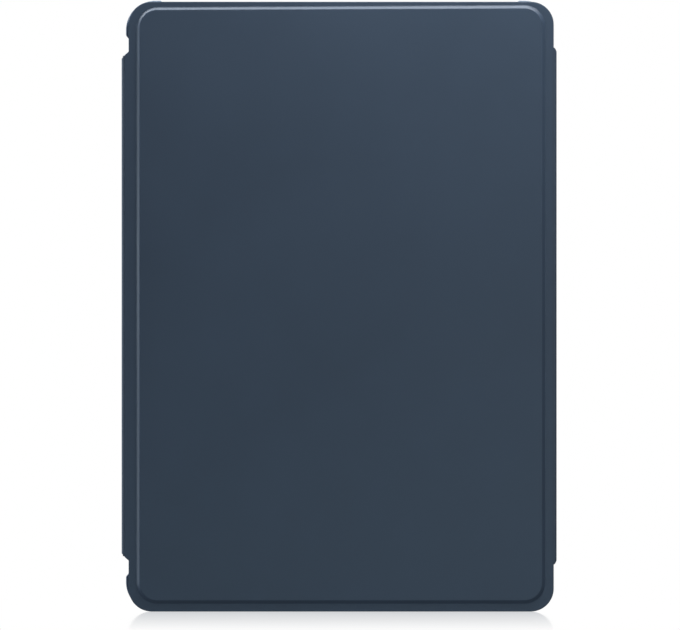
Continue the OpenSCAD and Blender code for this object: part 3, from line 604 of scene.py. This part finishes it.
right_roll = [(COVER_X1 - 0.6, TAB_Y), (COVER_X1 - 0.3, TAB_Y),
              *arc(FLAP_X - RR, BORDER_Y + RR, RR, -90, 0, 8)]
# the flap's crease wears the leather painted darker: painted shade in the fold
crease = piece("flap_fold_leather",
               *band(tapered(right_roll, TAB_R, COVER_X1, FLAP_X, power=2), FLAP_T, 1),
               NAVY_FOLD_SHADE, slot="navy_leather")
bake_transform(crease)
flap = piece("flap_leather", *band(upright(FLAP_X, BORDER_Y + RR, 9.5, FLAP_ENDS), FLAP_T, 1),
             NAVY, slot="navy_leather")
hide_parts("flap_skin")
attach(flap, "flap")
flap_in = piece("flap_lining_face",
                *band(upright(FLAP_X - 1.2, -9.45, 9.45, (20.2, 235.0)), 0.4, 1, 0.15),
                LINING, slot="grey_lining")
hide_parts("flap_lining")
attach(flap_in, "flap")


# ---------------------------------------------------------------- back and stand
def notched(x0, x1, z0, z1, r, notch):
    """The stand's opening: small round corners and a finger notch in the left side."""
    return (arc(x1 - r, z1 - r, r, 0, 90, 4) + arc(x0 + r, z1 - r, r, 90, 180, 4)
            + arc(x0, MID_Z, notch, 90, 270, 20)
            + arc(x0 + r, z0 + r, r, 180, 270, 4) + arc(x1 - r, z0 + r, r, 270, 360, 4))


TAB_REACH = 3.8  # how far from the spine's face the slant of the back's tab is carried on


def back_tab_path(n=6):
    """The back's tab, from the crease to under the back's leather."""
    x0, x1 = SPINE_X + FR, COVER_X0 + 1.2
    path = []
    for i in range(n + 1):
        spread = TAB_L[2] * (FR + (TAB_REACH - FR) * i / n) / (COVER_X0 - SPINE_X)
        z0, z1 = SPINE_ENDS[0] - spread, SPINE_ENDS[1] + spread
        path.append((x0 + (x1 - x0) * i / n, BACK_Y, z0, z1))
    return path


BACK_EDGE = [(0.7, BACK_Y), (0.4, BACK_Y - 0.04), (0.15, BACK_Y - 0.2), (0.02, BACK_Y - 0.5),
             (0, BACK_Y - 0.9), (0.05, PLATE_Y + 0.5), (0.25, PLATE_Y + 0.2),
             (0.75, PLATE_Y + 0.08), (1.0, SKIN_Y)]
recess = notched(REC_X0, REC_X1, REC_Z0, REC_Z1, 0.6, 7.0)
recess_out = grown(recess, 0.35)
camera_hole = circle(CAM_X, CAM_Z, 7.42)
camera_out = grown(camera_hole, 0.3)
back_face = plate_with_holes(inset(BACK, 0.7, BR), [recess_out, camera_out], BACK_Y)
back_side = loft(stack(BACK, BR, BACK_EDGE), ends=False)
recess_wall = loft([lift(recess_out, BACK_Y), lift(grown(recess, 0.12), BACK_Y - 0.06),
                    lift(grown(recess, 0.02), BACK_Y - 0.25), lift(recess, SKIN_Y)], ends=False)
camera_wall = loft([lift(camera_out, BACK_Y), lift(grown(camera_hole, 0.1), BACK_Y - 0.06),
                    lift(camera_hole, BACK_Y - 0.25), lift(camera_hole, SKIN_Y)], ends=False)
under = plate_with_holes(inset(BACK, 1.0, BR), [recess, camera_hole], SKIN_Y)
back_tab = band(back_tab_path(), 0.45, -1)
back = piece("back_leather",
             *merged(back_face, back_side, recess_wall, camera_wall, under, back_tab),
             NAVY, slot="navy_leather")
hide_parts("back_skin")
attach(back, "back")

STAND_EDGE = [(0.5, BACK_Y), (0.25, BACK_Y - 0.05), (0.08, BACK_Y - 0.18), (0.0, BACK_Y - 0.4),
              (0.0, HINGE_Y + 0.98)]
stand = piece("stand_leather", *loft(stack(STAND, 1.6, STAND_EDGE)), NAVY, slot="navy_leather")
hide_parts("stand_skin")
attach(stand, "stand")


def stand_fold_path(n=16):
    """The leather over the stand's hinge, from the leaf to the back, sagging between them."""
    x0, x1 = STAND[1] - 0.1, REC_X1 + 0.1
    ends = REC_Z0 + 0.4, REC_Z1 - 0.4
    return [(x0 + (x1 - x0) * i / n, BACK_Y - 0.22 - 0.2 * math.sin(math.pi * i / n), *ends)
            for i in range(n + 1)]


# the fold over the stand's hinge wears the leather painted darker: painted shade in the fold
fold = piece("stand_fold_leather", *band(stand_fold_path(), 0.3, -1),
             NAVY_FOLD_SHADE, slot="navy_leather")
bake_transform(fold)
stand_in = piece("stand_lining_face",
                 *slab(shrunk((REC_X0, HINGE_X, REC_Z0, REC_Z1), 1.2), 2.0,
                       HINGE_Y - 1.16, HINGE_Y - 1.0, 0.06),
                 LINING, slot="grey_lining")
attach(stand_in, "stand")

# ---------------------------------------------------------------- tray
BAY_W, BAY_H, BAY_R = 174.3, 250.8, 10.0
BAY = (MID_X - BAY_W / 2, MID_X + BAY_W / 2, MID_Z - BAY_H / 2, MID_Z + BAY_H / 2)
WALL, LIP = 1.05, 2.2
BUMPER, SLOPE = 14.2, 2.1  # length of a bumper along each side, and of the slope at its end


def ease(t):
    t = min(1.0, max(0.0, t))
    return t * t * (3 - 2 * t)


def bay_side(end, reach, standing, sign, full):
    """Points along a straight side of the bay: (x, z, normal x, normal z, share of bumper).

    end is where the side's corners start, reach how far out the side lies, and full where its
    bumpers have their full height.
    """
    plain = full - SLOPE
    slopes = {(full - SLOPE * k / 6) * s for k in range(6) for s in (-1, 1)}
    between = {plain * (-1 + 2 * k / 34) for k in range(35)}
    marks = sorted({-end, end} | {m for m in slopes | between if abs(m) < end - SAME_PLACE})
    for m in marks if standing == (sign > 0) else marks[::-1]:
        share = ease((abs(m) - plain) / SLOPE)
        yield (sign * reach, m, sign, 0, share) if standing else (m, sign * reach, 0, sign, share)


def bay_corner(cx, cz, a0, n=20):
    for i in range(1, n):
        a = math.radians(a0 + 90 * i / n)
        c, s = math.cos(a), math.sin(a)
        yield cx + BAY_R * c, cz + BAY_R * s, c, s, 1.0


def bay_path():
    """All points round the bay, anticlockwise and measured from its middle."""
    w, h = BAY_W / 2, BAY_H / 2
    cx, cz = w - BAY_R, h - BAY_R
    full_x, full_z = HALF_W + BUMP - BUMPER, HALF_H + BUMP - BUMPER
    return [*bay_side(cz, w, True, 1, full_z), *bay_corner(cx, cz, 0),
            *bay_side(cx, h, False, 1, full_x), *bay_corner(-cx, cz, 90),
            *bay_side(cz, w, True, -1, full_z), *bay_corner(-cx, -cz, 180),
            *bay_side(cx, h, False, -1, full_x), *bay_corner(cx, -cz, 270)]


def wall_section(d):
    """Closed section of the wall, (distance out from the bay, y), with its outer face at d."""
    q = 0.2 + 0.5 * min(1.0, (d - WALL) / BUMP)  # rounding of the outer edges
    lip = [(-LIP, -0.25), (-LIP, -0.7), (-LIP + 0.12, -0.95), (-LIP + 0.4, -1.1)]
    fore = [(d - q - 0.35, -1.1), (d - q * 0.45 - 0.1, -1.02), (d - 0.12, -0.75 + q * 0.2),
            (d, -0.3 + q * 0.5)]
    rear = [(d, 3.8), (d, 7.9 - q * 0.5), (d - 0.12, 8.4 - q * 0.2), (d - q * 0.45 - 0.1, 8.7),
            (d - q - 0.35, PLATE_Y)]
    inside = [(-1.2, PLATE_Y), (-1.2, 8.0), (-0.25, 8.0), (0, 7.8), (0, 3.8), (0, 0.25),
              (-0.2, 0.0), (-LIP + 0.25, 0.0)]
    return lip + fore + rear + inside


walls = loft([[(MID_X + x + nx * d, y, MID_Z + z + nz * d)
               for d, y in wall_section(WALL + BUMP * share)]
              for x, z, nx, nz, share in bay_path()], closed=True)
tray = piece("tray_shell", *walls, TPU, sharp=40, slot="navy_soft_plastic")

# Openings of the wall: (axis of the cut, x, z, width, y0, y1, corner radius)
CUTOUTS = [
    ("z", MID_X, 0, 14, 1.4, 6.0, 1.8),  # charging plug
    ("z", MID_X - 40, 0, 30, 1.4, 6.0, 1.8),  # speakers
    ("z", MID_X + 40, 0, 30, 1.4, 6.0, 1.8),
    ("z", -72.775, 254.5, 6.2, 0.6, 6.8, 3.09),  # headphone plug
    ("z", 65.325, 254.5, 13.4, 1.8, 5.6, 1.89),  # power button
    ("x", MID_X + HALF_W, 210.9, 11.4, 1.8, 5.6, 1.89),  # volume buttons
    ("x", MID_X + HALF_W, 196.9, 11.4, 1.8, 5.6, 1.89),
]


def cutter(axis, cx, cz, w, y0, y1, r, depth=8.0):
    """Closed prism with a rounded section, through the wall along x or z."""
    ends = []
    for t in (-depth / 2, depth / 2):
        ends.append([(cx + u, y, cz + t) if axis == "z" else (cx + t, y, cz + u)
                     for u, y in outline((-w / 2, w / 2, y0, y1), r, 6)])
    return piece("cut", *loft(ends), TPU)


def without(ob, cutters):
    """The mesh of an object with the cutters taken out of it."""
    for c in cutters:
        mod = ob.modifiers.new("cut", "BOOLEAN")
        mod.operation = "DIFFERENCE"
        mod.solver = "EXACT"
        mod.object = c
    bpy.context.view_layer.update()
    done = ob.evaluated_get(bpy.context.evaluated_depsgraph_get())
    me = bpy.data.meshes.new_from_object(done)
    ob.modifiers.clear()
    for c in cutters:
        bpy.data.objects.remove(c)
    return me


tray.data = without(tray, [cutter(*c) for c in CUTOUTS])
smooth(tray, 40)
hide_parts("tray_frame")
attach(tray, "back")

FLOOR_IN, FLOOR_OUT = 8.02, PLATE_Y - 0.01
floor_edge = outline(shrunk(BAY, -0.3), 10.3)
hole = circle(CAM_X, CAM_Z, 7.41)
floor_mesh = merged(plate_with_holes(floor_edge, [hole], FLOOR_IN),
                    plate_with_holes(floor_edge, [hole], FLOOR_OUT),
                    loft([lift(hole, FLOOR_IN), lift(hole, FLOOR_OUT)], ends=False),
                    loft([lift(floor_edge, FLOOR_IN), lift(floor_edge, FLOOR_OUT)], ends=False))
tray_floor = piece("tray_floor", *floor_mesh, TPU, slot="navy_soft_plastic")
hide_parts("tray_frame")
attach(tray_floor, "back")

# ---------------------------------------------------------------- keyboard domes and legends
# Keyboard coordinates: u along its length, v across it, n up from its back.
KL, KD, KEY_N = 246.0, 168.0, 6.2  # length, width, and height with keys
KB_Y = -7.5  # y of the keyboard's back
BORDER = 8.2
ROWS_L = KL - 2 * BORDER
UNIT = ROWS_L / 14
ROW_H, FN_H, GAP = 16.0, 10.0, 2.2
ROWS_V0 = KD / 2 - BORDER
ROWS_V1 = ROWS_V0 - FN_H - 5 * ROW_H
SHEET_N, FLOOR_OF_DOMES = 1.22, 1.5  # back and face of the domes' membrane

# Each row: the keys' widths in units, and their legends. Two signs on one key are a pair.
ROWS = [
    ([1] * 14, ["esc"] + [f"F{i}" for i in range(1, 13)] + ["del"]),
    ([0.75] + [1] * 12 + [1.25],
     [("~", "`"), ("!", "1"), ("@", "2"), ("#", "3"), ("$", "4"), ("%", "5"), ("^", "6"),
      ("&", "7"), ("*", "8"), ("(", "9"), (")", "0"), ("_", "-"), ("+", "="), "backspace"]),
    ([1.25] + [1] * 12 + [0.75],
     ["tab"] + list("QWERTYUIOP") + [("{", "["), ("}", "]"), ("|", "\\")]),
    ([1.5] + [1] * 11 + [1.5],
     ["caps lock"] + list("ASDFGHJKL") + [(":", ";"), ('"', "'"), "enter"]),
    ([2] + [1] * 10 + [2],
     ["shift"] + list("ZXCVBNM") + [("<", ","), (">", "."), ("?", "/"), "shift"]),
    ([1, 1, 1, 1.25, 4.75, 1, 1, 1, 1, 1],
     ["fn", "ctrl", "alt", "cmd", "", "cmd", "alt", "left", "", "right"]),
]
ROW_BODIES = ["function_keys", "number_keys", "upper_letter_keys", "home_letter_keys",
              "lower_letter_keys", "modifier_keys"]
OWN_BODIES = {
    (1, 13): "backspace_key", (2, 0): "tab_key", (3, 0): "caps_lock_key", (3, 12): "enter_key",
    (4, 0): "left_shift_key", (4, 11): "right_shift_key", (5, 4): "space_bar",
    (5, 7): "left_arrow_key", (5, 9): "right_arrow_key",
}
HALF_KEYS = (5, 8)  # the place where the up and down arrows share one key's room
HALF_KEY_V, ARROW_V = 3.675, 3.7  # from its middle to those keys' domes and arrows
HOMING_KEYS, HOMING_V = (4, 7), 4.6  # F and J of the home row, and their bars below the middle
LETTER, SIGN, WORD, SMALL_WORD = 4.6, 3.6, 2.7, 2.6  # sizes of legends
SIGN_V, WORD_V = 2.9, 4.2  # from the key's middle to a pair's signs, and down to a word
WORD_U = 1.6  # from the key's end to a word


def key_world(u, v, n):
    return (MID_X - v, KB_Y + n, MID_Z - u)


def row_v(i):
    return ROWS_V0 - FN_H / 2 if i == 0 else ROWS_V0 - FN_H - (i - 0.5) * ROW_H


def key_u(i, j):
    widths = ROWS[i][0]
    return (sum(widths[:j]) + widths[j] / 2) * UNIT - ROWS_L / 2


def stems(width):
    """Where a key's stems are along its width: three on the space bar, two on other wide keys."""
    if width > 3 * UNIT:
        return -0.32 * width, 0.0, 0.32 * width
    return (-0.3 * width, 0.3 * width) if width > 1.6 * UNIT else (0.0,)


# Outline of a dome, from its foot to the middle of its top: (radius, n)
DOME_SIDE = [(2.1, FLOOR_OF_DOMES), (2.0, 1.6), (1.62, 1.86), (1.28, 2.04), (1.1, 2.2),
             (1.08, 2.6), (1.0, 2.72), (0.8, 2.75)]


def dome(u, v):
    return loft([[key_world(x, y, n) for x, y in circle(u, v, r, 16)] for r, n in DOME_SIDE])


def printed(points, faces):
    """A flat sign on a key's top, with the thickness of its ink."""
    n = len(points)
    verts = [key_world(x, y, k) for k in (KEY_N - 0.01, KEY_N + 0.02) for x, y in points]
    edges = {(a, b) for f in faces for a, b in zip(f, f[1:] + f[:1])}
    sides = [(a, b, b + n, a + n) for a, b in sorted(edges) if (b, a) not in edges]
    return verts, [f[::-1] for f in faces] + [tuple(i + n for i in f) for f in faces] + sides


SAME_POINT = 0.004  # mm: points of a letter's outline that are nearer are one
NO_AREA = 1e-5  # mm2: a triangle between three points of an outline that are in one line


def lettering(text, u, v, size, align="CENTER"):
    """A legend in keyboard coordinates, centred on (u, v), or starting or ending there."""
    cu = bpy.data.curves.new("legend", "FONT")
    cu.body = text
    cu.size = size
    cu.align_x = align
    cu.align_y = "CENTER"
    cu.resolution_u = 3
    ob = bpy.data.objects.new("legend", cu)
    bpy.context.scene.collection.objects.link(ob)
    bpy.context.view_layer.update()
    done = ob.evaluated_get(bpy.context.evaluated_depsgraph_get())
    bm = bmesh.new()
    bm.from_mesh(bpy.data.meshes.new_from_object(done))
    bmesh.ops.remove_doubles(bm, verts=bm.verts, dist=SAME_POINT)
    bmesh.ops.dissolve_degenerate(bm, dist=SAME_POINT, edges=bm.edges)
    bmesh.ops.triangulate(bm, faces=bm.faces, quad_method="BEAUTY", ngon_method="BEAUTY")
    for flat in [f for f in bm.faces if f.calc_area() < NO_AREA]:
        longest = max(flat.edges, key=lambda e: e.calc_length())
        bmesh.ops.rotate_edges(bm, edges=[longest])
    bm.verts.index_update()
    points = [(u + p.co.x, v + p.co.y) for p in bm.verts]
    faces = [tuple(p.index for p in f.verts) for f in bm.faces]
    bm.free()
    bpy.data.objects.remove(ob)
    bpy.data.curves.remove(cu)
    return printed(points, faces)


def arrow(u, v, turn, size=1.1):
    c, s = size * math.cos(math.radians(turn)), size * math.sin(math.radians(turn))
    corners = [(0, 1), (0.87, -0.5), (-0.87, -0.5)]
    return printed([(u + x * c - y * s, v + x * s + y * c) for x, y in corners], [(2, 1, 0)])


def legends(label, row, column, width):
    """All signs of one key."""
    u, v = key_u(row, column), row_v(row)
    if label in ("left", "right"):
        return [arrow(u, v, 90 if label == "left" else -90)]
    if isinstance(label, tuple):
        return [lettering(label[0], u, v + SIGN_V, SIGN), lettering(label[1], u, v - SIGN_V, SIGN)]
    if len(label) == 1:
        return [lettering(label, u, v, LETTER)]
    if not label:
        return []
    if row == 0:
        return [lettering(label, u, v, SMALL_WORD)]
    if row == 5:
        return [lettering(label, u, v - WORD_V, SMALL_WORD)]
    if column == 0:
        return [lettering(label, u - width / 2 + WORD_U, v - WORD_V, WORD, "LEFT")]
    return [lettering(label, u + width / 2 - WORD_U, v - WORD_V, WORD, "RIGHT")]


def homing_bar(u, v, half_w=1.6, half_h=0.22):
    corners = [(-half_w, -half_h), (half_w, -half_h), (half_w, half_h), (-half_w, half_h)]
    return loft([[key_world(u + x, v + y, n) for x, y in corners]
                 for n in (KEY_N - 0.02, KEY_N + 0.12)])


ink, domes = {}, {}
for row, (widths, labels) in enumerate(ROWS):
    for column, label in enumerate(labels):
        if (row, column) == HALF_KEYS:
            continue
        width = widths[column] * UNIT - GAP
        body = OWN_BODIES.get((row, column), ROW_BODIES[row])
        u, v = key_u(row, column), row_v(row)
        domes.setdefault(body, []).extend(dome(u + s, v) for s in stems(width))
        ink.setdefault(body, []).extend(legends(label, row, column, width))
half_u, half_v = key_u(*HALF_KEYS), row_v(HALF_KEYS[0])
ink["up_arrow_key"] = [arrow(half_u, half_v + ARROW_V, 0)]
ink["down_arrow_key"] = [arrow(half_u, half_v - ARROW_V, 180)]
domes["up_arrow_key"] = [dome(half_u, half_v + HALF_KEY_V)]
domes["down_arrow_key"] = [dome(half_u, half_v - HALF_KEY_V)]

rows_box = (MID_X - ROWS_V0, MID_X - ROWS_V1, MID_Z - ROWS_L / 2, MID_Z + ROWS_L / 2)
membrane = piece("dome_membrane",
                 *slab(shrunk(rows_box, 1), 2.0, KB_Y + SHEET_N, KB_Y + FLOOR_OF_DOMES, 0.06),
                 DOMES)
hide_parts("dome_sheet")
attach(membrane, "keyboard")
for body, group in sorted(domes.items()):
    ob = piece(body + "_domes", *merged(*group), DOMES)
    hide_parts("dome_sheet")
    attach(ob, "keyboard")
    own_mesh(ob)
for body, marks in sorted(ink.items()):
    if marks:
        ob = piece(body + "_legends", *merged(*marks), INK, sharp=20)
        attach(ob, body)
bars = [homing_bar(key_u(3, j), row_v(3) - HOMING_V) for j in HOMING_KEYS]
homing = piece("homing_bars", *merged(*bars), KEYS)
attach(homing, "home_letter_keys")

# ---------------------------------------------------------------- floor, light, camera
WORLD = 0.38  # the white surroundings' light on the part
BOUNCE = 0.3  # the floor's light on the part
MIRROR = 1.05  # how strongly the floor mirrors right under the part
MIRROR_END = 0.766  # distance in m from y = 0 at which the floor mirrors no more
FLOOR_HALF = 60.0  # m


def floor_material():
    """White floor with a faint mirror image that fades with distance, for the camera only."""
    mat = bpy.data.materials.new("studio_floor")
    mat.use_nodes = True
    tree = mat.node_tree
    tree.nodes.clear()
    new, link = tree.nodes.new, tree.links.new

    def ranged(value, from_max, to_min, to_max):
        n = new("ShaderNodeMapRange")
        for k, v in (("From Max", from_max), ("To Min", to_min), ("To Max", to_max)):
            n.inputs[k].default_value = v
        link(value, n.inputs["Value"])
        return n.outputs[0]

    def math_node(op, value, other=0.0):
        n = new("ShaderNodeMath")
        n.operation = op
        link(value, n.inputs[0])
        n.inputs[1].default_value = other
        return n.outputs[0]

    def mixed(fac, a, b):
        n = new("ShaderNodeMixShader")
        link(fac, n.inputs[0])
        link(a, n.inputs[1])
        link(b, n.inputs[2])
        return n.outputs[0]

    geo, split = new("ShaderNodeNewGeometry"), new("ShaderNodeSeparateXYZ")
    link(geo.outputs["Position"], split.inputs[0])
    near = ranged(math_node("ABSOLUTE", split.outputs["Y"]), MIRROR_END, 1.0, 0.0)
    glow = new("ShaderNodeEmission")
    link(ranged(near, 1.0, 1.0, 1.0 - WORLD * MIRROR), glow.inputs["Strength"])
    mirror = new("ShaderNodeBsdfGlossy")
    mirror.inputs["Roughness"].default_value = 0.03
    grey = new("ShaderNodeCombineColor")
    strength = math_node("MULTIPLY", near, MIRROR)
    for k in range(3):
        link(strength, grey.inputs[k])
    link(grey.outputs[0], mirror.inputs["Color"])
    both = new("ShaderNodeAddShader")
    link(glow.outputs[0], both.inputs[0])
    link(mirror.outputs[0], both.inputs[1])
    plain = new("ShaderNodeEmission")
    plain.inputs["Strength"].default_value = BOUNCE
    path = new("ShaderNodeLightPath")
    seen = mixed(path.outputs["Is Camera Ray"], plain.outputs[0], both.outputs[0])
    clear = new("ShaderNodeBsdfTransparent")  # seen from below, the floor isn't there
    out = new("ShaderNodeOutputMaterial")
    link(mixed(geo.outputs["Backfacing"], seen, clear.outputs[0]), out.inputs["Surface"])
    return mat


def stage_floor():
    s = FLOOR_HALF
    me = bpy.data.meshes.new("floor")
    me.from_pydata([(-s, -s, 0), (s, -s, 0), (s, s, 0), (-s, s, 0)], [], [(0, 1, 2, 3)])
    me.materials.append(floor_material())
    ob = bpy.data.objects.new("floor", me)
    bpy.context.scene.collection.objects.link(ob)


def white_world():
    """Full white for the camera, and WORLD of it as light."""
    world = bpy.data.worlds.new("studio")
    bpy.context.scene.world = world
    world.use_nodes = True
    tree = world.node_tree
    background = tree.nodes["Background"]
    background.inputs["Color"].default_value = (1, 1, 1, 1)
    path = tree.nodes.new("ShaderNodeLightPath")
    level = tree.nodes.new("ShaderNodeMapRange")
    level.inputs["To Min"].default_value = WORLD
    level.inputs["To Max"].default_value = 1.0
    tree.links.new(path.outputs["Is Camera Ray"], level.inputs["Value"])
    tree.links.new(level.outputs[0], background.inputs["Strength"])


def lamp(name, at, to, size, power, color=(1, 1, 1)):
    """A rectangular lamp of size (width, height) that points from one place to another."""
    data = bpy.data.lights.new(name, "AREA")
    data.shape = "RECTANGLE"
    data.size, data.size_y = size
    data.energy = power
    data.color = color
    ob = bpy.data.objects.new(name, data)
    ob.location = at
    ob.rotation_euler = (Vector(to) - Vector(at)).to_track_quat("-Z", "Y").to_euler()
    ob.visible_camera = False
    bpy.context.scene.collection.objects.link(ob)


white_world()
stage_floor()
lamp("key_softbox", (0.24, -0.6, 0.06), (0.04, 0.0, 0.1), (0.3, 0.3), 0.57, (0.78, 0.92, 1.0))
lamp("top_softbox", (-0.1, 0.12, 1.2), (-0.1, 0.0, 0.2), (1.0, 0.16), 19.0)
lamp("corner_softbox", (-0.85, 0.12, 0.95), (-0.08, 0.0, 0.25), (0.18, 0.76), 19.0)
lamp("top_strip", (0.11, -0.13, 0.44), (0.04, 0.0, 0.2), (0.3, 0.06), 1.1, (1.0, 0.95, 0.92))
lamp("low_strip", (0.03, -0.28, 0.012), (0.02, 0.0, 0.01), (0.38, 0.02), 0.085,
     (0.55, 0.83, 1.0))
lamp("left_strip", (-1.2, -0.1, 0.115), (0.0, 0.0, 0.12), (0.35, 0.26), 3.8, (0.74, 0.87, 1.0))
lamp("back_softbox", (-0.3, 1.3, 0.9), (0.0, 0.0, 0.13), (1.0, 1.0), 6.0)

PHOTO_W, PIXELS_PER_MM = 680, 2.3946
CAMERA_AWAY, FACE_NEARER = 12.0, 0.0105  # m, from y = 0: the camera, and the cover's face
SENSOR = 36.0
cam_data = bpy.data.cameras.new("camera")
cam = bpy.data.objects.new("camera", cam_data)
bpy.context.scene.collection.objects.link(cam)
cam.location = (0.00036, -CAMERA_AWAY, 0.12385)
cam.rotation_euler = (math.radians(90), 0, 0)
cam_data.sensor_width = SENSOR
cam_data.lens = SENSOR / (PHOTO_W / PIXELS_PER_MM * MM / (CAMERA_AWAY - FACE_NEARER))
cam_data.clip_end = 200
bpy.context.scene.camera = cam
bpy.context.scene.view_settings.view_transform = "Standard"
